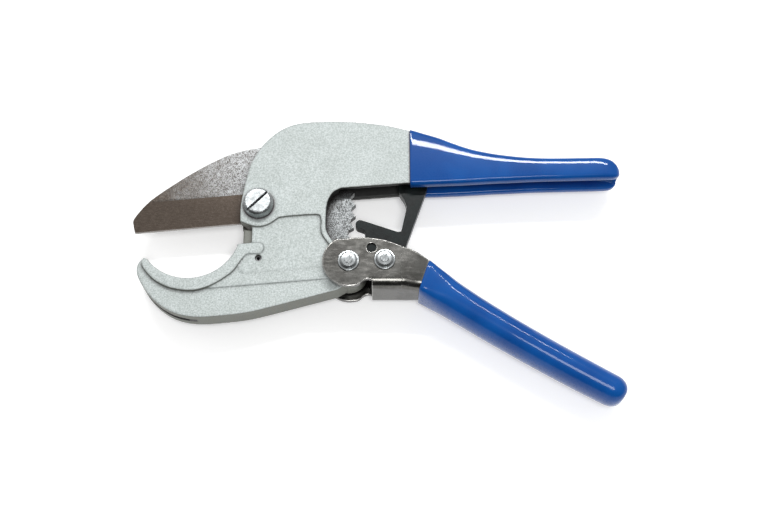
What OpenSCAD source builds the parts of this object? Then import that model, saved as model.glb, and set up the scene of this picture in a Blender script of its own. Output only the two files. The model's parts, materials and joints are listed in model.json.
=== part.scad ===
// Ratchet pipe cutter for plastic pipe, lying flat on its side.
// X runs along the handles, Y across them, Z through the thickness.
// Outlines are drawn around the blade pivot on the middle plane, then moved by place().

/* [Jaw and blade] */
// Radius of the pipe seat in the hooked jaw
seat_r = 21.5; // [20:0.5:22]
// Thickness of the blade
blade_t = 3.6; // [3:0.2:3.8]
// Radius from the blade pivot to the tips of the ratchet teeth
tooth_tip_r = 41; // [40.6:0.1:41.2]
// Depth of the notches between the ratchet teeth
tooth_depth = 1.9; // [1.5:0.1:2.2]
// Angle from one ratchet tooth to the next
tooth_pitch = 7.5; // [7:0.5:8]
// Number of ratchet teeth
tooth_count = 12; // [10:1:12]

/* [Casting] */
// Thickness of the casting at the head and the handle
body_t = 15; // [14:0.5:16]
// Thickness of the casting at the panel beside the jaw
panel_t = 12.8; // [12:0.2:13]
// Thickness of the casting along its lower beam
beam_t = 10.8; // [10.4:0.2:12.4]
// Width of the slot that the blade swings in
slot_w = 4.8; // [4.4:0.2:5]
// Width of the open channel under the handle
channel_w = 10; // [9:0.5:10.5]

/* [Lever] */
// Outside width of the folded steel lever at its ears
lever_w = 22; // [21:0.5:23]
// Thickness of the lever's sheet steel
sheet_t = 2; // [1.6:0.1:2.2]
// Thickness of the vinyl skin on both handles
vinyl_t = 1; // [0.8:0.1:1.2]

/* [Fasteners] */
// Shank radius of the blade screw
screw_r = 4; // [3.5:0.5:4]
// Shank radius of the two rivets
rivet_r = 2.5; // [2.4:0.1:2.8]
// Radial clearance of every running fit
running_gap = 0.05; // [0.02:0.01:0.1]

/* [Hidden] */
$fn = 64;

// Half thicknesses, measured from the middle plane
body_z = body_t / 2;
panel_z = panel_t / 2;
beam_z = beam_t / 2;
slot_z = slot_w / 2;
blade_z = blade_t / 2;
channel_z = channel_w / 2;
lever_z = lever_w / 2;
ear_z = lever_z - sheet_t;
collar_t = 0.6;
head_rise = 1.6;

// Pivot places, from the blade pivot
seat_at = [-28.5, -11.1];
lever_at = [38.2, -26.6];
pawl_at = [53.1, -26.0];
stop_at = [0.6, -23.6];

// Corners of the whole tool, from the blade pivot, and the shift that puts
// the origin at the middle of the underside
tool_left = -53.82;
tool_right = 153.6;
tool_low = -84.96;
tool_high = 39.0;
tool_under = -lever_z - collar_t - head_rise;
shift = [-(tool_left + tool_right) / 2, -(tool_low + tool_high) / 2, -tool_under];

// Points along a circle, from one angle to another
function arc(at, r, from, to, steps = 12) =
    [for (i = [0 : steps]) let (a = from + (to - from) * i / steps) at + r * [cos(a), sin(a)]];

// One point of a smooth curve through four neighbouring points
function curve_point(a, b, c, d, t) =
    0.5 * (2 * b + (c - a) * t + (2 * a - 5 * b + 4 * c - d) * t * t + (3 * b - a - 3 * c + d) * t * t * t);

// A smooth curve through a list of points
function curve(p, steps = 5) = concat([for (i = [0 : len(p) - 2]) for (s = [0 : steps - 1])
    curve_point(p[max(i - 1, 0)], p[i], p[i + 1], p[min(i + 2, len(p) - 1)], s / steps)], [p[len(p) - 1]]);

// A value read from a table of [place, value] rows, by straight lines
function at_x(table, x, i = 0) =
    x <= table[0][0] ? table[0][1] :
    i >= len(table) - 1 ? table[len(table) - 1][1] :
    x <= table[i + 1][0] ?
        table[i][1] + (table[i + 1][1] - table[i][1]) * (x - table[i][0]) / (table[i + 1][0] - table[i][0]) :
        at_x(table, x, i + 1);

function reversed(p) = [for (i = [len(p) - 1 : -1 : 0]) p[i]];

module place() { translate(shift) children(); }

// A flat shape made as thick as twice z, about the middle plane
module slab(z) { translate([0, 0, -z]) linear_extrude(2 * z) children(); }

// A solid ring around an axis along Z
module ring(inner, outer, low, high) {
    translate([0, 0, low]) difference() {
        cylinder(r = outer, h = high - low);
        translate([0, 0, -1]) cylinder(r = inner, h = high - low + 2);
    }
}

// Faces of the walls between cross-sections with equal point counts, from a first point on
function wall_faces(rows, count, base = 0) = [for (i = [0 : rows - 2]) for (j = [0 : count - 1])
    let (k = (j + 1) % count, a = base + i * count, b = a + count)
    each [[a + j, b + j, b + k], [a + j, b + k, a + k]]];

// Faces across one cross-section, from its first half to its second half
function cap_faces(count, base = 0) = [for (j = [0 : count / 2 - 2]) let (m = count - 1 - j)
    each [[base + j, base + j + 1, base + m - 1], [base + j, base + m - 1, base + m]]];

function flipped(faces) = [for (f = faces) [f[2], f[1], f[0]]];

// A bar or folded sheet over a list of cross-sections
module band(rings) {
    count = len(rings[0]);
    rows = len(rings);
    polyhedron([for (r = rings) each r], concat(wall_faces(rows, count), cap_faces(count),
        flipped(cap_faces(count, (rows - 1) * count))), convexity = 8);
}

// A closed-ended sleeve, open where its first outer and first inner cross-sections meet
module sleeve(outer, inner) {
    count = len(outer[0]);
    base = len(outer) * count;
    mouth = [for (j = [0 : count - 1]) let (k = (j + 1) % count)
        each [[j, k, base + k], [j, base + k, base + j]]];
    polyhedron([for (r = concat(outer, inner)) each r], concat(mouth,
        wall_faces(len(outer), count), flipped(cap_faces(count, base - count)),
        flipped(wall_faces(len(inner), count, base)), cap_faces(count, base + (len(inner) - 1) * count)),
        convexity = 8);
}

// Outlines of the casting, all from the blade pivot

head_left = curve([[-7.4, -7.6], [-7.5, -0.8], [-6.3, 8], [-4.2, 17.8], [-0.3, 25.9], [5.2, 32.2],
    [10.8, 36.1], [17.4, 38.2], [29.8, 39.0], [42.2, 38.5], [54.6, 36.9], [64, 34.5]]);

// Side view of the bare handle: place along X, top, underside and ceiling of its channel
handle_rows = [[64, 34.3, 9.9, 31.3], [67, 33.4, 10, 30.4], [70, 32.4, 10.1, 29.4], [73, 31.5, 10.3, 28.4],
    [76.3, 30.4, 10.4, 27.2], [78.7, 29.4, 10.5, 26.3], [81, 28.4, 10.6, 25.3], [83.5, 27.4, 10.7, 24.4],
    [86, 26.4, 10.8, 23.4], [90.7, 24.8, 11.1, 22], [95.8, 23.6, 11.4, 20.7], [100.6, 22.7, 11.7, 19.7],
    [105.5, 22, 11.9, 19], [111.4, 21.3, 12.2, 18.4], [117.3, 20.9, 12.5, 18], [124.5, 20.7, 12.7, 17.9],
    [131.7, 20.8, 12.9, 17.9], [139, 20.9, 13.1, 18], [145.8, 21, 13.3, 17.8], [148.8, 20, 13.5, 16.9],
    [151, 18.1, 14.1, 16.1]];
window_edge = concat([[62, 9.9], [34.6, 7.7]], curve([[34.6, 7.7], [31.2, 5.6], [29, 1.3], [28.5, -4.1],
    [28.5, -10.5], [29.9, -14.1], [33, -18.6]]));

// Head and handle, the thickest part of the casting
module head_outline() {
    polygon(concat(head_left, [for (r = handle_rows) [r[0], r[1]]],
        reversed([for (r = handle_rows) [r[0], r[2]]]),
        window_edge,
        curve([[31.3, -19.5], [27.6, -14.4], [26.5, -11.2], [26.6, -7.4]]),
        curve([[26.2, -5.3], [24.4, -4.3], [14, -5], [8.6, -5.7]]),
        arc([0, 0], 9.8, -48, -113)));
}

// Panel between the head and the jaw
module panel_outline() {
    polygon([[-2.4, 0], [-2.4, -19], [-7.4, -27.4], [-7.1, -28.9], [-5.3, -30.1], [27.8, -27.4], [36, -26],
        [36, -20], [27.5, -14], [27, 0]]);
}

// Strip between the panel and the step above the lower beam
module strip_outline() {
    polygon([[-2.4, -10], [-2.4, -19], [-10, -29.5], [-26.5, -37.3], [30, -32.4], [36, -30], [36, -20]]);
}

// Lower beam with the hook and the lug of the lever pivot
module beam_outline() {
    polygon(concat(
        curve([[-45.2, -24.1], [-46.9, -23.3], [-49.4, -25.6], [-49.8, -29.3], [-48.2, -33.4], [-44.6, -38.8],
            [-40.2, -43.2], [-34.8, -46.6], [-28.8, -48.5], [-22, -49.0], [-13.7, -48.4], [-2, -46.8],
            [15.6, -42.2], [33.4, -37.3]]),
        [[39, -34], [39, -20], [20, -12], [-6.2, -10], [-6.2, -18.2]],
        arc(seat_at, seat_r, -19.4, -142.4, 24)));
}

// Raised rib around the pipe seat, with the short arm at its upper end
module rib_outline() {
    polygon(concat(
        arc(seat_at, seat_r, -142.4, -19.4, 24),
        curve([[-8.4, -18.0], [-7.6, -17.5], [0.4, -17.0], [2.4, -18.0], [2.7, -20], [1.2, -21.7]]),
        curve([[-4.2, -21.9], [-6.6, -24.8], [-9.8, -29.6], [-15.5, -34], [-21.1, -36.8], [-26.8, -38],
            [-33.8, -37.2], [-38.5, -35.5], [-42.7, -32.8], [-46.2, -29], [-47.9, -25.8], [-46.9, -23.6]])));
}

// Handle channel, open at its underside and its end
module channel_outline() {
    polygon(concat([[33.6, 0]], curve([[33.6, 27.5], [38, 33.4], [46, 34.8], [54.6, 33.7], [64, 31.3]]),
        [for (r = handle_rows) [r[0], r[3]]], [[153, 15.3], [153, 8], [111, 4], [64, 2]]));
}

// Space inside the casting that the blade swings through
blade_sweep_r = 54.6;
tail_sweep_r = 41.9;

module sweep_outline() {
    circle(r = tail_sweep_r);
    polygon(concat([[0, 0]], arc([0, 0], blade_sweep_r, 130, 242, 20)));
}

module body_casting() {
    slit_z = 1.2;
    strip_z = 4.4;
    lug_r = 8;
    hole_r = 1.3;
    color("silver") place() difference() {
        union() {
            slab(body_z) head_outline();
            slab(body_z - 0.3) rib_outline();
            slab(panel_z) panel_outline();
            slab(panel_z - 0.3) strip_outline();
            difference() {
                slab(beam_z) beam_outline();
                for (side = [-1, 1]) translate([-7, -17.4, side * (strip_z + 5)])
                    cube([9.2, 20, 10], center = true);
            }
            translate([lever_at.x, lever_at.y, -body_z]) cylinder(r = lug_r, h = body_t);
        }
        // Blade slot and the thin slit that it opens under the hook
        slab(slot_z) sweep_outline();
        slab(slit_z) polygon(concat([[-20, -16]], arc([0, 0], 66, 218, 243, 8)));
        slab(channel_z) channel_outline();
        // Bores for the blade screw, the stop pin and the lever pivot
        translate([0, 0, -body_z - 1]) cylinder(r = screw_r + running_gap, h = body_t + 2);
        translate([stop_at.x, stop_at.y, -body_z - 1]) cylinder(r = hole_r, h = body_t + 2);
        translate([lever_at.x, lever_at.y, -body_z - 1]) cylinder(r = rivet_r + 1.25, h = body_t + 2);
        // Round seat under the lock nut
        translate([0, 0, -body_z - 0.01]) cylinder(r = 6.6, h = 0.41);
    }
}

// A rounded arch in the plane at x: up one side, over the top and down the other; a negative
// foot flares outwards at its lower ends
function arch(x, low, top, w, r, foot) = let (side = concat(
        [for (i = [0 : 2]) [low + abs(foot) * (1 - cos(i * 45)), w - foot * (1 - sin(i * 45))]],
        [for (i = [0 : 4]) [top - r + r * sin(i * 22.5), w - r + r * cos(i * 22.5)]]))
    concat([for (p = side) [x, p[0], -p[1]]], [for (p = reversed(side)) [x, p[0], p[1]]]);

// Vinyl skin round the handle and inside its channel
skin_tip = [[149.8, 21, 12.5, 16.3, 0.3], [152, 19.1, 13.1, 15.8, 1], [153.2, 17.3, 14, 15.5, 2.2],
    [153.6, 16.4, 14.8, 15.4, 3.2]];

module body_grip() {
    w = body_z + vinyl_t;
    gap = channel_z - vinyl_t;
    last = len(handle_rows) - 3;
    rows = concat([for (i = [0 : last]) let (r = handle_rows[i])
        [r[0], r[1] + vinyl_t, r[2] - vinyl_t, r[3] - vinyl_t, 0]], skin_tip);
    color("royalblue") place() sleeve(
        [for (r = rows) let (low_r = min(1.6, (r[1] - r[2]) * 0.2)) concat(
            arch(r[0], r[2], r[1], w - r[4], min(2.6, (r[1] - r[3]) * 0.45), low_r),
            reversed(arch(r[0], r[2], r[3], gap, min(1, (r[3] - r[2]) * 0.3), -low_r * 0.6)))],
        [for (r = handle_rows) let (x = r[0] + (r[0] > 150 ? 0.05 : 0)) concat(
            arch(x, r[2] - 0.05, r[1] + 0.1, body_z + 0.05, 0.05, 0.05),
            reversed(arch(x, r[2] - 0.05, r[3] - 0.1, channel_z - 0.05, 0.05, -0.05)))]);
}

// Outline of the blade: cutting part, hub and the tail with its teeth
first_tooth = 40.9;
tooth_root_r = tooth_tip_r - tooth_depth;
blade_back = curve([[-52.6, -10.5], [-53.5, -7], [-53.2, -3.6], [-46.8, 4.1], [-35.9, 12.6], [-27.9, 18],
    [-19.9, 22.8], [-11.8, 26.5], [-1.9, 28.9], [9, 30], [20, 31], [31, 27.6]]);
teeth = [for (i = [0 : tooth_count - 1]) let (tip = first_tooth - i * tooth_pitch)
    each [tooth_tip_r * [cos(tip), sin(tip)],
          tooth_root_r * [cos(tip - 2.5), sin(tip - 2.5)],
          tooth_root_r * [cos(tip - 4.9), sin(tip - 4.9)]]];

module blade_outline() {
    polygon(concat(blade_back, teeth, [[24.5, -29], [18.4, -14.6], [9, -8.6]],
        arc([0, 0], 9.4, -46, -138, 8), [[-8, -6.2]]));
}

module blade() {
    edge_z = 0.15;
    bevel_w = 13.6;
    tilt = atan((blade_z - edge_z) / bevel_w);
    color("dimgray") place() difference() {
        slab(blade_z) blade_outline();
        // Ground bevels on both sides, up to the shoulder beside the hub
        for (side = [-1, 1]) intersection() {
            translate([-70, -40, -20]) cube([62.6, 80, 40]);
            translate([-8, -6.2, 0]) rotate([0, 0, 5.4]) mirror([0, 0, side < 0 ? 1 : 0])
                translate([-60, 0, edge_z]) rotate([tilt, 0, 0]) translate([0, -20, 0]) cube([70, 40, 10]);
        }
        translate([0, 0, -blade_z - 1]) cylinder(r = screw_r + 1.2, h = blade_t + 2);
    }
}

module blade_bush() {
    color("darkgoldenrod") place() ring(screw_r + running_gap, screw_r + 1.2, -blade_z, blade_z);
}

module blade_shims() {
    low = blade_z + 0.05;
    top = slot_z - 0.05;
    color("gainsboro") place() for (side = [-1, 1])
        ring(screw_r + running_gap, 6.4, side > 0 ? low : -top, side > 0 ? top : -low);
}

module blade_screw() {
    head_r = 6.4;
    top_r = 5.5;
    head_h = 4.4;
    color("lightgray") place() difference() {
        rotate_extrude() polygon([[0, -12.2], [2.6, -12.2], [3, -11.8], [3, -body_z + 0.4],
            [screw_r, -body_z + 0.45], [screw_r, body_z], [head_r, body_z],
            [head_r, body_z + 1], [top_r + 0.5, body_z + head_h - 0.6],
            [top_r, body_z + head_h - 0.2], [top_r - 0.3, body_z + head_h], [0, body_z + head_h]]);
        translate([0, 0, body_z + head_h]) rotate([0, 0, 45]) cube([20, 1.1, 3], center = true);
    }
}

module spring_washer() {
    color("silver") place() ring(3.1, 5.6, -body_z - 0.8, -body_z + 0.4);
}

nut_h = -tool_under - body_z - 0.8;

module lock_nut() {
    color("silver") place() difference() {
        translate([0, 0, tool_under]) union() {
            translate([0, 0, 1.4]) cylinder(r = 5.77, h = nut_h - 1.4, $fn = 6);
            cylinder(r = 4.7, h = 1.6);
        }
        translate([0, 0, tool_under - 1]) cylinder(r = 3.0, h = 8);
        translate([0, 0, tool_under + 0.2]) cylinder(r = 4, h = 1.2);
    }
}

module nut_insert() {
    color("steelblue") place() ring(3.0, 4, tool_under + 0.2, tool_under + 1.4);
}

module stop_pin() {
    pin_z = panel_z - 0.9;
    color("dimgray") place() translate([stop_at.x, stop_at.y, 0]) ring(0.7, 1.3, -pin_z, pin_z);
}

// Side outline of the lever's ears, in front of the section where it narrows
ear_end = 60;

module ear_outline() {
    polygon(concat(
        arc(lever_at, 10.8, 118, 268, 20),
        curve([[38.6, -37.4], [41.9, -36.9], [44.3, -35.1], [46.2, -34.3], [47.9, -34.8]]),
        [[47.9, -37.5], [ear_end, -37.5]],
        curve([[ear_end, -20], [54, -17.7], [47.6, -16.5], [41.7, -16.3], [36.4, -16.9], [33.1, -17.1]])));
}

// The first cross-sections turn towards the ears
mouth_turn = [[0, 17], [0.075, 8], [0.15, 2], [0.22, 0]];

// Places along the lever: centre, direction, half height and half width of the steel
lever_path = [for (i = [0 : 14]) let (t = i / 14) 
    (1 - t) * (1 - t) * [69.4, -31.8] + 2 * t * (1 - t) * [101, -54.6] + t * t * [144.6, -78.4]];
function lever_angle(t) = at_x(mouth_turn, t) + atan2(-22.8 - t, 31.6 + t * 12);

// Height and width of the steel core inside the lever grip, halved, from its start to its end
core_h = [[0, 6.5], [0.15, 5.2], [0.5, 4.7], [1, 4.2]];
core_w = [[0, 9.3], [0.15, 7.6], [0.5, 7.2], [1, 6.8]];

// A point of a cross-section across the lever, h up its side and z through it
function across(at, angle, h, z) = [at.x - sin(angle) * h, at.y + cos(angle) * h, z];

// Half of a rounded outline across the lever, from its open side down to the web
function u_side(half_h, half_w, low_r, top_r) = concat(
    [for (i = [3 : -1 : 0]) [half_h - top_r + top_r * sin(i * 30), half_w - top_r + top_r * cos(i * 30)]],
    [for (i = [0 : 4]) [-half_h + low_r - low_r * sin(i * 22.5), half_w - low_r + low_r * cos(i * 22.5)]]);

function both_sides(p) = concat(p, [for (q = reversed(p)) [q[0], -q[1]]]);

// Cross-section of the folded steel: outside, then inside
function steel_side(half_h, low, half_w, r) =
    concat([[half_h, half_w]],
        [for (i = [0 : 4]) [low + r - r * sin(i * 22.5), half_w - r + r * cos(i * 22.5)]]);
function steel_ring(at, angle, half_h, half_w) = let (
        outer = both_sides(steel_side(half_h, -half_h, half_w, 4)),
        inner = both_sides(steel_side(half_h, -half_h + sheet_t, half_w - sheet_t, 2)))
    [for (p = concat(outer, reversed(inner))) across(at, angle, p[0], p[1])];

// Cross-section of the vinyl skin, with a lip over each edge of the steel
function skin_ring(at, angle, half_h, half_w, core_half_h, core_half_w) = let (
        lip = core_half_w - sheet_t - 0.6,
        top = core_half_h + 0.05,
        outer = both_sides(concat([[half_h, lip]], u_side(half_h, half_w, 4.6, 2.6))),
        inner = both_sides(concat([[top, lip]], u_side(top, core_half_w + 0.03, 3, 0.3))))
    [for (p = concat(outer, reversed(inner))) across(at, angle, p[0], p[1])];

// Rows of place, direction, half height and half width: the narrowing section, then the core
neck_rows = [[[ear_end - 0.6, -28.75], 0, 8.72, lever_z - 0.03], [[62.5, -29.3], -4, 8.4, lever_z - 0.3],
    [[65.7, -30.3], -10, 7.7, lever_z - 1]];
core_rows = [for (i = [0 : 14]) let (t = i / 14)
    [lever_path[i], lever_angle(t), at_x(core_h, t), at_x(core_w, t)]];

module lever_channel() {
    bend_r = 4;
    web_low = -37.5;
    web_start = 47.9;
    color("lightslategray") place() {
        difference() {
            union() {
                for (side = [-1, 1])
                    translate([0, 0, side > 0 ? ear_z : -lever_z]) linear_extrude(sheet_t) ear_outline();
                translate([web_start, web_low, -lever_z]) cube([ear_end - web_start, sheet_t, lever_w]);
            }
            // Rounded outside of the two bends
            for (side = [-1, 1]) translate([web_start, web_low + bend_r, side * (lever_z - bend_r)])
                difference() {
                    translate([-1, -bend_r - 1, side > 0 ? 0 : -bend_r - 1])
                        cube([20, bend_r + 1, bend_r + 1]);
                    translate([-2, 0, 0]) rotate([0, 90, 0]) cylinder(r = bend_r, h = 40);
                }
            for (at = [lever_at, pawl_at])
                translate([at.x, at.y, -20]) cylinder(r = rivet_r + running_gap, h = 40);
            translate([47.7, -20.7, -20]) cylinder(r = 2.05, h = 40);
        }
        band([for (r = concat(neck_rows, core_rows)) steel_ring(r[0], r[1], r[2], r[3])]);
    }
}

module lever_grip() {
    grip_h = [[0, 7.4], [0.5, 6.6], [0.9, 6.2], [1, 6]];
    grip_w = [[0, 9.9], [0.1, 9.6], [0.5, 9.2], [1, 8.8]];
    tip = lever_path[14];
    angle = lever_angle(1);
    along = [cos(angle), sin(angle)];
    color("royalblue") place() {
        band([for (i = [0 : 14]) let (t = i / 14, r = core_rows[i])
            skin_ring(r[0], r[1], at_x(grip_h, t), at_x(grip_w, t), r[2], r[3])]);
        band([for (step = [[-0.5, 0.05], [0, 0], [1.8, 0.3], [3.6, 1], [5, 2.1], [6, 3.6]])
            let (in = step[1]) [for (p = both_sides(u_side(6 - in * 0.6, 8.8 - in, 4.6 - in, 2.6 - in * 0.4)))
                across(tip + step[0] * along, angle, p[0], p[1])]]);
    }
}

// Rivet with a stepped button head at both ends
module rivet() {
    top = lever_z + collar_t + head_rise;
    under = lever_z + collar_t;
    rotate_extrude() polygon([[0, -top], [1.6, -top], [1.8, -top + 0.25], [2.9, -top + 0.25],
        [3.5, -top + 0.8], [3.6, -under], [rivet_r, -under], [rivet_r, under],
        [3.6, under], [3.5, top - 0.8], [2.9, top - 0.25],
        [1.8, top - 0.25], [1.6, top], [0, top]]);
}

module rivet_collars() {
    for (side = [-1, 1]) ring(rivet_r + running_gap, 4.4,
        side > 0 ? lever_z : -lever_z - collar_t, side > 0 ? lever_z + collar_t : -lever_z);
}

module lever_rivet() {
    color("gainsboro") place() translate([lever_at.x, lever_at.y, 0]) rivet();
}

module lug_bush() {
    color("darkgoldenrod") place() translate([lever_at.x, lever_at.y, 0])
        ring(rivet_r, rivet_r + 1.25, -body_z, body_z);
}

module lever_washers() {
    color("gainsboro") place() translate([lever_at.x, lever_at.y, 0]) for (side = [-1, 1])
        ring(rivet_r, 6.5, side > 0 ? body_z : -ear_z + 0.05, side > 0 ? ear_z - 0.05 : -body_z);
}

module lever_rivet_collars() {
    color("gainsboro") place() translate([lever_at.x, lever_at.y, 0]) rivet_collars();
}

// Pawl: hub, nose arm that reaches the teeth, and release arm up into the handle channel
pawl_z = 2.5;
nose_at = [42.75, -6.95];

module pawl_outline() {
    polygon(concat(
        arc(nose_at, 1.9, 73, 253, 10),
        curve([[44.6, -9.6], [45, -12], [44.3, -16], [44.5, -20.5], [47.2, -24.4]], 4),
        arc(pawl_at, 6, 170, 350, 12),
        [[61.4, -19], [69.6, 4.5]],
        curve([[71.2, 9], [71.6, 12], [70, 14], [66, 14.4], [60.5, 13.6], [58.8, 12], [59.6, 7.6],
            [61.6, 4.2], [62.6, 0.8]], 3),
        curve([[60.4, -9.2], [60, -10.2], [58.6, -10.4]], 3)));
}

module pawl() {
    color("black") place() difference() {
        union() {
            slab(pawl_z) pawl_outline();
            // Thicker hub around the rivet
            translate([pawl_at.x, pawl_at.y, -3.5]) cylinder(r = 5, h = 7);
        }
        translate([pawl_at.x, pawl_at.y, -5]) cylinder(r = rivet_r + 1, h = 10);
    }
}

module pawl_bush() {
    color("darkgoldenrod") place() translate([pawl_at.x, pawl_at.y, 0])
        ring(rivet_r + running_gap, rivet_r + 1, -3.5, 3.5);
}

module pawl_rivet() {
    color("gainsboro") place() translate([pawl_at.x, pawl_at.y, 0]) rivet();
}

module pawl_spacers() {
    color("gainsboro") place() translate([pawl_at.x, pawl_at.y, 0]) for (side = [-1, 1])
        ring(rivet_r, rivet_r + 0.7, side > 0 ? 3.55 : -ear_z, side > 0 ? ear_z : -3.55);
}

module pawl_rivet_collars() {
    color("gainsboro") place() translate([pawl_at.x, pawl_at.y, 0]) rivet_collars();
}

// Torsion spring wound round the near spacer, with one leg on the lever's web
spring_r = 4.4;
spring_wire_r = 0.45;
spring_turns = 3.75;
spring_low = 4.2;
spring_pitch = 1.05;

// A wire swept along a list of points, as a skin of small rings
function unit(v) = v / norm(v);
function wire_ring(p, dir) = let (
        side = unit(cross(dir, abs(dir.z) > 0.9 ? [1, 0, 0] : [0, 0, 1])),
        other = cross(side, dir))
    [for (i = [7 : -1 : 0]) p + spring_wire_r * (cos(i * 45) * side + sin(i * 45) * other)];
function wire(path) = [for (i = [0 : len(path) - 1])
    wire_ring(path[i], unit(path[min(i + 1, len(path) - 1)] - path[max(i - 1, 0)]))];

module pawl_spring() {
    steps = 60;
    coil = [for (i = [0 : steps]) let (a = 200 + 360 * spring_turns * i / steps)
        [spring_r * cos(a), spring_r * sin(a), spring_low + spring_pitch * spring_turns * i / steps]];
    color("gray") place() translate([pawl_at.x, pawl_at.y, 0]) band(wire(coil));
}

body_casting();
body_grip();
blade();
blade_bush();
blade_shims();
blade_screw();
spring_washer();
lock_nut();
nut_insert();
stop_pin();
lever_channel();
lever_grip();
lever_rivet();
lug_bush();
lever_washers();
lever_rivet_collars();
pawl();
pawl_bush();
pawl_rivet();
pawl_spacers();
pawl_rivet_collars();
pawl_spring();
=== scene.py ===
"""Looks of the ratchet pipe cutter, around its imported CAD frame. Lengths are metres."""
import json
import math

import bpy
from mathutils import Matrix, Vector


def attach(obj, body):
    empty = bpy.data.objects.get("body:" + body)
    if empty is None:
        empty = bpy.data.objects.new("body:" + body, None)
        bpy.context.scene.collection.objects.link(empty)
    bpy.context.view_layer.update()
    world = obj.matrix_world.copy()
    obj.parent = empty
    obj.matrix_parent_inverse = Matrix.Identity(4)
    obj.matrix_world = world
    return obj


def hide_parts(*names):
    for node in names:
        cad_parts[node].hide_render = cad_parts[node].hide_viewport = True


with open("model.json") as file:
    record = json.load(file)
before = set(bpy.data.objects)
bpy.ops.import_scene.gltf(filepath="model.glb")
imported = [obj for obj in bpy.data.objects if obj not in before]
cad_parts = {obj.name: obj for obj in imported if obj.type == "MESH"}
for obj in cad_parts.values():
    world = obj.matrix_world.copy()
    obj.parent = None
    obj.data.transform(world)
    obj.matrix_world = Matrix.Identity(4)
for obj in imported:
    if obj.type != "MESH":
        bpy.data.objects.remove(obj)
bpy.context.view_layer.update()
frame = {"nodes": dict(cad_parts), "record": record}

MM = 0.001
joint_at = {j["name"]: Vector(j["pos_m"]) for j in frame["record"]["behaviour"]["joints"]}
PIVOT = joint_at["blade_pivot"]


def at(x, y, z=0.0):
    """A place in millimetres from the blade pivot, in the row frame."""
    return PIVOT + Vector((x, y, z)) * MM


# ---------------------------------------------------------------- materials

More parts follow.
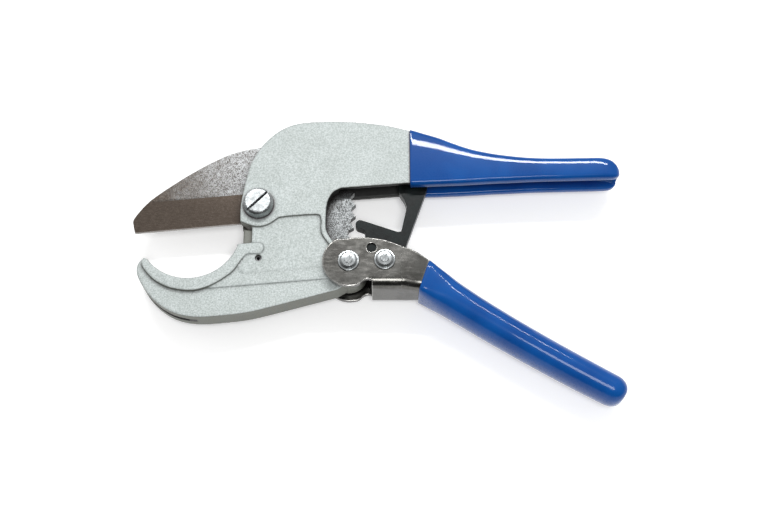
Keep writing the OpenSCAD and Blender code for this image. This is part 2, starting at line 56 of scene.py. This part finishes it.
class Nodes:
    """A small helper that adds and links shader nodes in one material."""

    def __init__(self, name, **values):
        self.mat = bpy.data.materials.new(name)
        self.mat.use_nodes = True
        self.tree = self.mat.node_tree
        self.bsdf = self.tree.nodes["Principled BSDF"]
        for key, value in values.items():
            self.bsdf.inputs[key.replace("_", " ")].default_value = value
        coord = self.tree.nodes.new("ShaderNodeTexCoord")
        mapping = self.tree.nodes.new("ShaderNodeMapping")
        mapping.inputs["Location"].default_value = -PIVOT * 1000
        mapping.inputs["Scale"].default_value = (1000, 1000, 1000)
        self.link(coord.outputs["Object"], mapping.inputs["Vector"])
        self.place = mapping.outputs["Vector"]

    def add(self, kind, **settings):
        node = self.tree.nodes.new(kind)
        for key, value in settings.items():
            if hasattr(node, key):
                setattr(node, key, value)
            else:
                node.inputs[key.replace("_", " ")].default_value = value
        return node

    def link(self, source, target):
        self.tree.links.new(source, target)

    def value(self, source, socket):
        """Set a socket to a number, or link a node's output to it."""
        if isinstance(source, (int, float)):
            socket.default_value = source
        else:
            self.link(source, socket)

    def math(self, operation, a, b=0.0):
        node = self.add("ShaderNodeMath", operation=operation)
        self.value(a, node.inputs[0])
        self.value(b, node.inputs[1])
        return node.outputs[0]

    def noise(self, scale, detail=2.0, rough=0.5, stretch=None, turn=0):
        """Noise over the place in millimetres: scale is lumps per millimetre."""
        source = self.place
        if stretch:
            mapping = self.add("ShaderNodeMapping")
            mapping.inputs["Scale"].default_value = stretch
            mapping.inputs["Rotation"].default_value = (0, 0, math.radians(turn))
            self.link(source, mapping.inputs["Vector"])
            source = mapping.outputs["Vector"]
        node = self.add("ShaderNodeTexNoise", Scale=scale, Detail=detail, Roughness=rough)
        self.link(source, node.inputs["Vector"])
        return node.outputs["Fac"]

    def ramp(self, source, low, high, out_low=0.0, out_high=1.0, smooth=True):
        """Map low..high to out_low..out_high, and hold the ends."""
        node = self.add("ShaderNodeMapRange", interpolation_type="SMOOTHSTEP" if smooth else "LINEAR")
        self.value(source, node.inputs["Value"])
        node.inputs["From Min"].default_value = low
        node.inputs["From Max"].default_value = high
        node.inputs["To Min"].default_value = out_low
        node.inputs["To Max"].default_value = out_high
        return node.outputs["Result"]

    def axes(self):
        """X, Y and Z in millimetres from the blade pivot."""
        node = self.add("ShaderNodeSeparateXYZ")
        self.link(self.place, node.inputs[0])
        return node.outputs

    def facing(self):
        """How far the surface faces along Z, in its body's own frame."""
        coord = self.add("ShaderNodeTexCoord")
        node = self.add("ShaderNodeSeparateXYZ")
        self.link(coord.outputs["Normal"], node.inputs[0])
        return node.outputs[2]

    def side_of(self, place, angle):
        """Distance in millimetres to the left of a line through place at that angle."""
        node = self.add("ShaderNodeVectorMath", operation="DOT_PRODUCT")
        turn = math.radians(angle)
        self.link(self.place, node.inputs[0])
        node.inputs[1].default_value = (-math.sin(turn), math.cos(turn), 0)
        shift = -place[0] * math.sin(turn) + place[1] * math.cos(turn)
        return self.math("SUBTRACT", node.outputs["Value"], shift)

    def both(self, first, *others):
        """Product of masks: where all of them hold."""
        for other in others:
            first = self.math("MULTIPLY", first, other)
        return first

    def mix(self, factor, a, b, blend="MIX"):
        """Colour a where the factor is 0, b where it is 1."""
        node = self.add("ShaderNodeMix", data_type="RGBA", blend_type=blend)
        self.value(factor, node.inputs[0])
        for source, socket in ((a, node.inputs[6]), (b, node.inputs[7])):
            if isinstance(source, tuple):
                socket.default_value = source + (1,)
            else:
                self.link(source, socket)
        return node.outputs[2]

    def hollow(self, reach, low, high, inside=False):
        """0 in the open, 1 deep in a corner, by ambient occlusion over that reach in millimetres."""
        node = self.add("ShaderNodeAmbientOcclusion", samples=8, inside=inside, Distance=reach * MM)
        return self.ramp(node.outputs["AO"], high, low)

    def bump(self, height, distance, round_edges=0.0):
        """Relief of that many millimetres, and edges shaded round over that radius in millimetres."""
        node = self.add("ShaderNodeBump", Distance=distance * MM)
        self.link(height, node.inputs["Height"])
        if round_edges:
            edge = self.add("ShaderNodeBevel", samples=8, Radius=round_edges * MM)
            self.link(edge.outputs["Normal"], node.inputs["Normal"])
        self.link(node.outputs["Normal"], self.bsdf.inputs["Normal"])

    def to(self, **sources):
        """Link outputs to the surface's sockets and give the finished material."""
        for key, source in sources.items():
            self.link(source, self.bsdf.inputs[key.replace("_", " ")])
        return self.mat


def cast_aluminium():
    """Blasted, pale casting with painted shade on its sides, painted highlights on its edges and painted
    shade in its corners.
    """
    n = Nodes("cast_aluminium", Metallic=0.3)
    grain = n.noise(1.5, 4.0, 0.75)
    patch = n.noise(0.12, 3.0)
    color = n.mix(n.ramp(grain, 0.34, 0.66), (0.29, 0.325, 0.315), (0.53, 0.57, 0.565))
    color = n.mix(n.ramp(patch, 0.35, 0.7, 0.0, 0.2), color, (0.62, 0.63, 0.60), "MULTIPLY")
    # Painted shade on the sides, painted highlight along the edges, painted shade at the foot of every step
    x, y, z = n.axes()
    depth = n.math("ABSOLUTE", z)
    side = n.ramp(n.math("ABSOLUTE", n.facing()), 0.8, 0.35)
    color = n.mix(n.both(side, 0.8), color, (0.105, 0.105, 0.078))
    edge = n.hollow(0.9, 0.25, 0.75, inside=True)
    color = n.mix(n.both(edge, 0.55), color, (0.86, 0.88, 0.87))
    corner = n.math("MAXIMUM", n.hollow(2.2, 0.45, 0.95), n.hollow(0.7, 0.66, 0.96))
    color = n.mix(n.both(corner, 0.96), color, (0.045, 0.03, 0.033))
    # Shaded ledge beside the jaw
    ledge = n.both(n.ramp(x, -2.0, -2.5), n.ramp(y, -19.5, -18.5), n.ramp(depth, 5.2, 4.7))
    color = n.mix(n.both(ledge, 0.85), color, (0.12, 0.12, 0.10))
    # Painted shade in deep hollows, inside the blade slot, the thin slit, the handle channel and on the
    # window's edge
    deep = n.hollow(16, 0.2, 0.55)
    centre_x = n.math("ABSOLUTE", n.math("SUBTRACT", x, 45))
    centre_y = n.math("ABSOLUTE", n.math("ADD", y, 4))
    window = n.both(n.ramp(centre_x, 19.5, 18), n.ramp(centre_y, 15.5, 14), n.ramp(depth, 7.3, 6.7), side)
    walls = n.both(n.ramp(depth, 5.6, 5.2), n.ramp(x, 25, 28), n.ramp(y, -20, -19),
                   n.ramp(y, 31, 29), n.ramp(x, 160, 155))
    slit = n.both(n.ramp(n.side_of((0, 0), 217), 0, 0.6), n.ramp(n.side_of((0, 0), 244), 0, -0.6),
                  n.ramp(depth, 1.65, 1.3))
    painted_shade = deep
    for mask in (window, walls, slit):
        painted_shade = n.math("MAXIMUM", painted_shade, mask)
    color = n.mix(n.both(painted_shade, 0.97), color, (0.010, 0.009, 0.009))
    n.bump(n.math("ADD", n.both(grain, 0.7), n.noise(4.0, 1.0)), 0.07)
    return n.to(Base_Color=color, Roughness=n.ramp(grain, 0.3, 0.7, 0.42, 0.6))


# Line between the blade's ground bevel and its flat: a place on it, and its angle in degrees
BLADE_LINE_AT = (-8, 7.0)
BLADE_LINE_ANGLE = 5.4


def blade_steel():
    """Ground bevel below the line, speckled mill scale on the flat above it."""
    n = Nodes("blade_steel", Metallic=1.0)
    x = n.axes()[0]
    above = n.ramp(n.side_of(BLADE_LINE_AT, BLADE_LINE_ANGLE), -0.15, 0.15)
    grit = n.noise(1.3, 4.0, 0.75)
    speck = n.math("ADD", n.both(n.noise(2.4, 2.0, 0.8), 0.72), n.both(n.noise(0.9, 3.0, 0.7), 0.28))
    # Brighter toward the pivot, with an uneven border
    wander = n.both(n.noise(0.2, 3.0, 0.6), 34)
    bright = n.ramp(n.math("ADD", x, wander), -30, 26, smooth=False)
    flat = n.mix(n.ramp(grit, 0.40, 0.66), (0.040, 0.032, 0.026), (0.110, 0.092, 0.078))
    pale = n.mix(n.ramp(speck, 0.38, 0.62), (0.055, 0.051, 0.048), (0.44, 0.46, 0.47))
    flat = n.mix(bright, flat, pale)
    lines = n.noise(0.8, 3.0, 0.6, stretch=(0.6, 4.0, 1.0), turn=-BLADE_LINE_ANGLE)
    bevel = n.mix(n.ramp(lines, 0.25, 0.75), (0.058, 0.046, 0.037), (0.082, 0.066, 0.055))
    bevel = n.mix(n.ramp(speck, 0.45, 0.75, 0.0, 0.55), bevel, (0.15, 0.125, 0.105))
    color = n.mix(above, bevel, flat)
    # The tail with its teeth in painted shade, a darker copy of the speckle; then painted highlights on the
    # edges and painted shade in the corners
    tail = n.mix(n.ramp(speck, 0.38, 0.64), (0.030, 0.030, 0.029), (0.29, 0.305, 0.31))
    color = n.mix(n.ramp(x, 20, 26), color, tail)
    color = n.mix(n.both(n.hollow(0.5, 0.3, 0.8, inside=True), 0.5), color, (0.55, 0.54, 0.52))
    color = n.mix(n.both(n.hollow(8, 0.34, 0.86), 0.95), color, (0.018, 0.015, 0.014))
    n.bump(n.math("ADD", speck, n.both(grit, 0.8)), 0.03)
    return n.to(Base_Color=color, Roughness=n.ramp(grit, 0.3, 0.7, 0.32, 0.5))


def plated_steel():
    """Dull zinc plating on the folded lever, with painted shade inside."""
    n = Nodes("plated_steel", Metallic=1.0)
    cloud = n.noise(0.10, 3.0, 0.6)
    streak = n.noise(0.35, 3.0, 0.6, stretch=(0.7, 2.0, 1.0), turn=28)
    fine = n.noise(2.4, 2.0, 0.7)
    color = n.mix(n.ramp(cloud, 0.35, 0.65), (0.080, 0.079, 0.073), (0.130, 0.129, 0.121))
    color = n.mix(n.ramp(streak, 0.5, 0.75, 0.0, 0.3), color, (0.23, 0.22, 0.21))
    color = n.mix(n.ramp(fine, 0.45, 0.75, 0.0, 0.25), color, (0.28, 0.27, 0.26))
    # Painted highlight along the sheared and folded edges, then painted shade in the corners
    edge = n.hollow(0.9, 0.35, 0.85, inside=True)
    color = n.mix(n.both(edge, 0.9), color, (0.62, 0.61, 0.59))
    color = n.mix(n.both(n.hollow(1.5, 0.35, 0.85), 0.8), color, (0.04, 0.034, 0.034))
    # Painted shade on the inner faces of the ears and in the channel
    _, y, z = n.axes()
    inner = n.both(n.ramp(n.math("ABSOLUTE", z), 9.4, 9.1), n.ramp(n.math("ABSOLUTE", n.facing()), 0.5, 0.8),
                   n.ramp(y, -33, -29, 0.25, 1.0))
    dark = n.math("MAXIMUM", n.hollow(14, 0.12, 0.42), inner)
    color = n.mix(n.both(dark, 0.93), color, (0.018, 0.016, 0.018))
    n.bump(fine, 0.006, round_edges=0.55)
    return n.to(Base_Color=color, Roughness=n.ramp(streak, 0.3, 0.75, 0.2, 0.28))


def metal(name, dark, light, rough_low, rough_high, scale=0.5):
    """Clouded bare or plated metal for the small parts."""
    n = Nodes(name, Metallic=1.0)
    cloud = n.noise(scale, 4.0, 0.65)
    color = n.mix(n.ramp(cloud, 0.3, 0.7), dark, light)
    # Painted highlight along the edges and painted shade in the corners
    edge = n.hollow(0.5, 0.25, 0.75, inside=True)
    color = n.mix(n.both(edge, 0.6), color, tuple(c * 1.6 for c in light))
    color = n.mix(n.both(n.hollow(1.3, 0.35, 0.85), 0.8), color, (0.02, 0.02, 0.02))
    n.bump(n.noise(scale * 6, 2.0), 0.006)
    return n.to(Base_Color=color, Roughness=n.ramp(cloud, 0.3, 0.7, rough_low, rough_high))


def black_steel():
    """Oil-blackened pawl."""
    n = Nodes("black_steel", Metallic=0.2, IOR=1.28)
    cloud = n.noise(0.25, 4.0, 0.6)
    fine = n.noise(1.6, 3.0, 0.7)
    color = n.mix(n.ramp(cloud, 0.3, 0.75), (0.002, 0.003, 0.003), (0.005, 0.009, 0.009))
    color = n.mix(n.ramp(fine, 0.5, 0.8, 0.0, 0.3), color, (0.035, 0.045, 0.045))
    n.bump(n.noise(2.5, 3.0, 0.6), 0.02)
    return n.to(Base_Color=color, Roughness=n.ramp(cloud, 0.3, 0.7, 0.28, 0.42))


def blue_vinyl():
    """Glossy dipped vinyl of both grips."""
    n = Nodes("blue_vinyl", IOR=1.15)
    n.bsdf.inputs["Coat Weight"].default_value = 0.85
    n.bsdf.inputs["Coat Roughness"].default_value = 0.03
    n.bsdf.inputs["Coat IOR"].default_value = 1.27
    cloud = n.noise(0.07, 2.0)
    fine = n.noise(1.3, 3.0, 0.75)
    color = n.mix(n.ramp(cloud, 0.3, 0.7), (0.002, 0.056, 0.245), (0.003, 0.076, 0.305))
    color = n.mix(n.ramp(fine, 0.35, 0.7, 0.0, 0.3), color, (0.006, 0.055, 0.26))
    # Painted shade in the hollows, such as the handle channel
    color = n.mix(n.both(n.hollow(12, 0.2, 0.7), 0.8), color, (0.012, 0.014, 0.13))
    n.bump(n.noise(0.3, 2.0), 0.012)
    return n.to(Base_Color=color, Roughness=n.ramp(fine, 0.3, 0.7, 0.24, 0.36))


def soft_plastic(name, dark, light):
    n = Nodes(name)
    cloud = n.noise(0.8, 3.0)
    n.bump(n.noise(3.0, 2.0), 0.02)
    return n.to(Base_Color=n.mix(n.ramp(cloud, 0.3, 0.7), dark, light),
                Roughness=n.ramp(cloud, 0.3, 0.7, 0.4, 0.55))


def floor_paper():
    """White paper that glows a little, bright enough to take away most of the shadows."""
    n = Nodes("floor_paper")
    n.bsdf.inputs["Emission Color"].default_value = (1, 1, 1, 1)
    n.bsdf.inputs["Emission Strength"].default_value = 0.3
    cloud = n.noise(0.02, 2.0)
    return n.to(Base_Color=n.mix(n.ramp(cloud, 0.3, 0.7), (0.84, 0.84, 0.84), (0.86, 0.86, 0.86)),
                Roughness=n.ramp(cloud, 0.3, 0.7, 0.85, 0.95))


looks = {
    "cast_aluminium": cast_aluminium(),
    "blue_vinyl": blue_vinyl(),
    "blade_steel": blade_steel(),
    "plated_steel": plated_steel(),
    "zinc_steel": metal("zinc_steel", (0.27, 0.285, 0.29), (0.40, 0.42, 0.425), 0.20, 0.30, 0.25),
    "black_steel": black_steel(),
    "spring_steel": metal("spring_steel", (0.10, 0.10, 0.10), (0.20, 0.20, 0.21), 0.25, 0.4),
    "bronze": metal("bronze", (0.32, 0.20, 0.09), (0.52, 0.36, 0.18), 0.28, 0.42),
    "nylon": soft_plastic("nylon", (0.03, 0.11, 0.33), (0.05, 0.16, 0.42)),
}
slot_of = {s["node"]: s["material_slot"] for s in frame["record"]["subparts"]}


# ---------------------------------------------------------------- CAD pieces

def modifier(obj, kind, name, **settings):
    mod = obj.modifiers.new(name, kind)
    for key, value in settings.items():
        setattr(mod, key, value)


# Width of the worn or rolled edge of each small piece, in millimetres
EDGES = {"blade": 0.12, "blade_screw": 0.22, "lever_rivet": 0.25, "pawl_rivet": 0.25, "pawl": 1.2,
         "lock_nut": 0.35, "nut_insert": 0.2, "spring_washer": 0.15, "lever_rivet_collars": 0.2,
         "pawl_rivet_collars": 0.2, "stop_pin": 0.15, "lever_washers": 0.12, "pawl_spacers": 0.1}
THIN_EDGE = 0.08
VERTEX_GAP = 2e-6  # metres within which corners are one
CAST_VOXEL = 0.36  # millimetres, for the soft edges of the casting
FOLD_ANGLE = math.radians(28)
BEVEL_ANGLE = math.radians(32)

for name, obj in frame["nodes"].items():
    obj.data.materials.clear()
    obj.data.materials.append(looks[slot_of[name]])
    for face in obj.data.polygons:
        face.use_smooth = True
    modifier(obj, "WELD", "weld", merge_threshold=VERTEX_GAP)
    if name == "body_casting":
        modifier(obj, "REMESH", "cast_skin", mode="VOXEL", voxel_size=CAST_VOXEL * MM, use_smooth_shade=True)
        modifier(obj, "SMOOTH", "cast_edges", factor=0.5, iterations=3)
    elif name == "lever_channel":
        modifier(obj, "EDGE_SPLIT", "folds", use_edge_sharp=False, split_angle=FOLD_ANGLE)
        modifier(obj, "WEIGHTED_NORMAL", "flats", weight=80)
    else:
        modifier(obj, "BEVEL", "edges", width=EDGES.get(name, THIN_EDGE) * MM, segments=3,
                 limit_method="ANGLE", angle_limit=BEVEL_ANGLE)
        modifier(obj, "WEIGHTED_NORMAL", "flats", weight=80)


# ---------------------------------------------------------------- vinyl grips

def smooth_rows(rows, steps):
    """A smooth curve through rows of numbers."""
    out = []
    for i in range(len(rows) - 1):
        a, b, c, d = rows[max(i - 1, 0)], rows[i], rows[i + 1], rows[min(i + 2, len(rows) - 1)]
        for s in range(steps):
            t = s / steps
            out.append([0.5 * (2 * q + (r - p) * t + (2 * p - 5 * q + 4 * r - u) * t * t
                               + (3 * q - p - 3 * r + u) * t ** 3) for p, q, r, u in zip(a, b, c, d)])
    out.append(list(rows[-1]))
    return out


def table(rows, x):
    """A value read from a table of (place, value) rows, by straight lines."""
    if x <= rows[0][0]:
        return rows[0][1]
    for (x0, y0), (x1, y1) in zip(rows, rows[1:]):
        if x <= x1:
            return y0 + (y1 - y0) * (x - x0) / (x1 - x0)
    return rows[-1][1]


def vinyl_skin(name, rings, faces, body, replaced):
    """The visible vinyl that takes the place of a plainer CAD node on that body."""
    mesh = bpy.data.meshes.new(name)
    mesh.from_pydata([tuple(p) for ring in rings for p in ring], [], faces)
    mesh.validate()
    for face in mesh.polygons:
        face.use_smooth = True
    mesh.set_sharp_from_angle(angle=math.radians(50))
    obj = bpy.data.objects.new(name, mesh)
    bpy.context.collection.objects.link(obj)
    obj.data.materials.append(looks["blue_vinyl"])
    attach(obj, body)
    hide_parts(replaced)


# A cross-section lists one side of a fold, then the other side backwards.

def sleeve_faces(outer, inner):
    """Faces of a skin between two lists of cross-sections that meet at its mouth and close at its end."""
    count = len(outer[0])
    faces = []

    def walls(rows, base, flip):
        for i in range(rows - 1):
            for j in range(count):
                k = (j + 1) % count
                a, b = base + i * count, base + (i + 1) * count
                face = (a + j, a + k, b + k, b + j)
                faces.append(face if not flip else face[::-1])

    def cap(base, flip):
        for j in range(count // 2 - 1):
            m = count - 1 - j
            face = (base + j, base + m, base + m - 1, base + j + 1)
            faces.append(face if not flip else face[::-1])

    split = len(outer) * count
    walls(len(outer), 0, False)
    cap(split - count, True)
    walls(len(inner), split, True)
    cap(split + (len(inner) - 1) * count, False)
    for j in range(count):
        k = (j + 1) % count
        faces.append((j, split + j, split + k, k))
    return faces


def folded_faces(rings):
    """Faces of a folded skin through a list of cross-sections, closed at both ends."""
    count = len(rings[0])
    faces = []
    for i in range(len(rings) - 1):
        for j in range(count):
            k = (j + 1) % count
            a, b = i * count, (i + 1) * count
            faces.append((a + j, b + j, b + k, a + k))
    for base, flip in ((0, False), ((len(rings) - 1) * count, True)):
        for j in range(count // 2 - 1):
            m = count - 1 - j
            face = (base + j, base + j + 1, base + m - 1, base + m)
            faces.append(face if not flip else face[::-1])
    return faces


# Bare handle in millimetres: place along X, top, underside and ceiling of its channel
HANDLE = [(64, 34.3, 9.9, 31.3), (67, 33.4, 10, 30.4), (70, 32.4, 10.1, 29.4),
          (73, 31.5, 10.3, 28.4), (76.3, 30.4, 10.4, 27.2), (78.7, 29.4, 10.5, 26.3),
          (81, 28.4, 10.6, 25.3), (83.5, 27.4, 10.7, 24.4), (86, 26.4, 10.8, 23.4),
          (90.7, 24.8, 11.1, 22), (95.8, 23.6, 11.4, 20.7), (100.6, 22.7, 11.7, 19.7),
          (105.5, 22, 11.9, 19), (111.4, 21.3, 12.2, 18.4), (117.3, 20.9, 12.5, 18),
          (124.5, 20.7, 12.7, 17.9), (131.7, 20.8, 12.9, 17.9), (139, 20.9, 13.1, 18),
          (145.8, 21, 13.3, 17.8), (148.8, 20, 13.5, 16.9), (151, 18.1, 14.1, 16.1)]
# Half widths of the handle and of its channel, thickness of the vinyl, and the grip's far end
BODY_Z, CHANNEL_Z, VINYL = 7.5, 5.0, 1.0
GRIP_END = 153.58
SNUG = 0.02  # gap between the vinyl and the casting
# Rounded end of the grip: place, top, underside, ceiling, and how far its sides draw in
GRIP_TIP = [(149.8, 21, 12.45, 16.3, 0.3), (152, 19.1, 13, 15.8, 1.0), (153.2, 17.3, 13.9, 15.5, 2.2),
            (GRIP_END, 16.4, 14.7, 15.4, 3.2)]
# Rolled lip at its mouth: step along X, then how far top and underside, ceiling and sides draw in
GRIP_LIP = [(0, 0.45, 0.3, 0.45), (0.12, 0.16, 0.1, 0.16), (0.4, 0, 0, 0.0)]


def arch(low, top, w, r, foot):
    """One side of a rounded arch as (height, width) pairs, from its foot up to its top.

    r rounds the top corner and foot the lower one, inward if it is positive."""
    side = []
    for i in range(7):
        a = math.radians(i * 15)
        side.append((low + abs(foot) * (1 - math.cos(a)), w - foot * (1 - math.sin(a))))
    side.append((top - r - 0.5 * max(top - r - low - abs(foot), 0), w))
    for i in range(9):
        a = math.radians(i * 11.25)
        side.append((top - r + r * math.sin(a), w - r + r * math.cos(a)))
    return side


def arch_ring(x, low, top, w, r, foot):
    side = arch(low, top, w, r, foot)
    return [at(x, h, -z) for h, z in side] + [at(x, h, z) for h, z in reversed(side)]


def body_grip_rings():
    rows = [(x, top + VINYL, low - VINYL, roof - VINYL, 0.0) for x, top, low, roof in HANDLE[:-2]]
    rows = smooth_rows(rows + GRIP_TIP, 5)
    x, top, low, roof, _ = rows[0]
    lip = [(x + step, top - rim, low + rim, roof + lift, inset) for step, rim, lift, inset in GRIP_LIP]
    outer = []
    for x, top, low, roof, inset in lip + rows[1:]:
        x = min(x, GRIP_END)
        foot = min(1.9, (top - low) * 0.2)
        outside = arch_ring(x, low, top, BODY_Z + VINYL - inset, min(3.0, (top - roof) * 0.45), foot)
        lining = arch_ring(x, low, roof, CHANNEL_Z - VINYL, min(1.4, (roof - low) * 0.3), -foot * 0.55)
        outer.append(outside + lining[::-1])
    inner = []
    for x, top, low, roof in smooth_rows(HANDLE, 2):
        outside = arch_ring(x, low - SNUG, top + SNUG, BODY_Z + SNUG, 0.05, 0.05)
        lining = arch_ring(x, low - SNUG, roof - SNUG, CHANNEL_Z - SNUG, 0.05, -0.05)
        inner.append(outside + lining[::-1])
    return outer, inner


# Lever grip: its path as three control places, then, from its mouth (0) to its end (1), the turn
# of a cross-section beyond the path's own, its half height and half width, and how square it is
PATH = ((69.4, -31.8), (101, -54.6), (144.6, -78.4))
TURN = [(0, 17), (0.075, 8), (0.15, 2), (0.22, 0)]
GRIP_H = [(0, 7.35), (0.12, 7.1), (0.5, 6.6), (0.9, 6.25), (1, 6.1)]
GRIP_W = [(0, 10.0), (0.12, 9.9), (0.5, 9.6), (1, 9.0)]
SQUARE = [(0, 7.0), (0.05, 4.4), (0.16, 2.6), (0.3, 2.3), (1, 2.3)]
WALL = 1.3  # thickness of the vinyl
MOUTH_INSETS = {0.0: 0.45, 0.002: 0.15}  # rolled lip at the mouth


def lever_place(t):
    """Place on the path and the angle of the grip there, in degrees."""
    (ax, ay), (bx, by), (cx, cy) = PATH
    x = (1 - t) ** 2 * ax + 2 * t * (1 - t) * bx + t * t * cx
    y = (1 - t) ** 2 * ay + 2 * t * (1 - t) * by + t * t * cy
    rise = (1 - t) * (by - ay) + t * (cy - by)
    run = (1 - t) * (bx - ax) + t * (cx - bx)
    return x, y, math.degrees(math.atan2(rise, run)) + table(TURN, t)


def oval(x, y, angle, half_h, half_w, power, lip):
    """One open oval across the lever as places, from its lip round the web to the other lip."""
    start = math.asin(min(1.0, lip / half_w) ** (power / 2))
    turn = math.radians(angle)
    ring = []
    for i in range(41):
        a = start + (2 * math.pi - 2 * start) * i / 40
        h = half_h * math.copysign(abs(math.cos(a)) ** (2 / power), math.cos(a))
        z = half_w * math.copysign(abs(math.sin(a)) ** (2 / power), math.sin(a))
        ring.append(at(x - math.sin(turn) * h, y + math.cos(turn) * h, z))
    return ring


def lever_grip_rings():
    stations = [0.0, 0.002, 0.006] + [0.006 + 0.994 * i / 48 for i in range(1, 49)]
    rings = []
    for t in stations:
        x, y, angle = lever_place(t)
        half_h, half_w, power = table(GRIP_H, t), table(GRIP_W, t), table(SQUARE, t)
        inset = MOUTH_INSETS.get(t, 0.0)
        lip = 5.2 * (1 - t) + 3.6 * t
        rings.append(oval(x, y, angle, half_h - inset, half_w - inset, power, lip)
                     + oval(x, y, angle, half_h - WALL, half_w - WALL, power, lip)[::-1])
    # Domed end
    x, y, angle = lever_place(1)
    turn = math.radians(angle)
    for step in range(1, 13):
        a = math.radians(step * 7.3)
        along, shrink = 5.9 * math.sin(a), 1 - math.cos(a)
        cx, cy = x + along * math.cos(turn), y + along * math.sin(turn)
        lip = 3.4 * (1 - shrink)
        rings.append(oval(cx, cy, angle, 6.1 - 4.6 * shrink, 9.0 - 4.6 * shrink, 2.3, lip)
                     + oval(cx, cy, angle, 4.8 - 4.2 * shrink, 7.7 - 4.2 * shrink, 2.3, lip)[::-1])
    return rings


outer_rings, inner_rings = body_grip_rings()
vinyl_skin("body_grip_skin", outer_rings + inner_rings, sleeve_faces(outer_rings, inner_rings),
           "frame", "body_grip")
grip_rings = lever_grip_rings()
vinyl_skin("lever_grip_skin", grip_rings, folded_faces(grip_rings), "lever", "lever_grip")


# ---------------------------------------------------------------- stage

FLOOR_HALF = 1.5
# Camera: distance in metres, tilt in degrees, and lens and sensor in millimetres
VIEW_DISTANCE = 0.5
VIEW_TILT = 20
SENSOR = 36
LENS = SENSOR * 1190 / 760


def floor():
    mesh = bpy.data.meshes.new("floor")
    corners = [(x * FLOOR_HALF, y * FLOOR_HALF, 0) for x, y in ((-1, -1), (1, -1), (1, 1), (-1, 1))]
    mesh.from_pydata(corners, [], [(0, 1, 2, 3)])
    obj = bpy.data.objects.new("floor", mesh)
    bpy.context.collection.objects.link(obj)
    obj.data.materials.append(floor_paper())


def area_light(name, place, target, size, power, size_y=None):
    """A white disk, or a strip when size_y is given, aimed at the target."""
    data = bpy.data.lights.new(name, "AREA")
    data.shape = "RECTANGLE" if size_y else "DISK"
    data.size = size
    if size_y:
        data.size_y = size_y
    data.energy = power
    obj = bpy.data.objects.new(name, data)
    obj.location = place
    obj.rotation_euler = (Vector(target) - Vector(place)).to_track_quat("-Z", "Y").to_euler()
    bpy.context.collection.objects.link(obj)


def camera():
    tilt = math.radians(VIEW_TILT)
    target = at(51.2, -24.9)
    data = bpy.data.cameras.new("camera")
    data.sensor_width = SENSOR
    data.lens = LENS
    obj = bpy.data.objects.new("camera", data)
    obj.location = target + VIEW_DISTANCE * Vector((0, -math.sin(tilt), math.cos(tilt)))
    obj.rotation_euler = (tilt, 0, 0)
    bpy.context.collection.objects.link(obj)
    bpy.context.scene.camera = obj
    return target


def studio(target):
    """A pale surround, darker toward the viewer's side, with a long strip above and a soft disk in front."""
    world = bpy.data.worlds.new("studio")
    world.use_nodes = True
    tree = world.node_tree
    coord = tree.nodes.new("ShaderNodeTexCoord")
    axes = tree.nodes.new("ShaderNodeSeparateXYZ")
    tree.links.new(coord.outputs["Generated"], axes.inputs[0])
    ramp = tree.nodes.new("ShaderNodeMapRange")
    tree.links.new(axes.outputs["Y"], ramp.inputs["Value"])
    ramp.inputs["From Min"].default_value = -0.75
    ramp.inputs["From Max"].default_value = 0.35
    ramp.inputs["To Min"].default_value = 0.1
    ramp.inputs["To Max"].default_value = 0.72
    back = tree.nodes["Background"]
    back.inputs["Color"].default_value = (1, 1, 1, 1)
    tree.links.new(ramp.outputs["Result"], back.inputs["Strength"])
    bpy.context.scene.world = world
    bpy.context.scene.view_settings.view_transform = "Standard"
    area_light("key", target + Vector((0.04, 0.56, 0.9)), target, 0.8, 5.6, size_y=0.03)
    area_light("fill", target + Vector((0.06, -0.3, 0.9)), target, 0.36, 4.6)


target = camera()
floor()
studio(target)
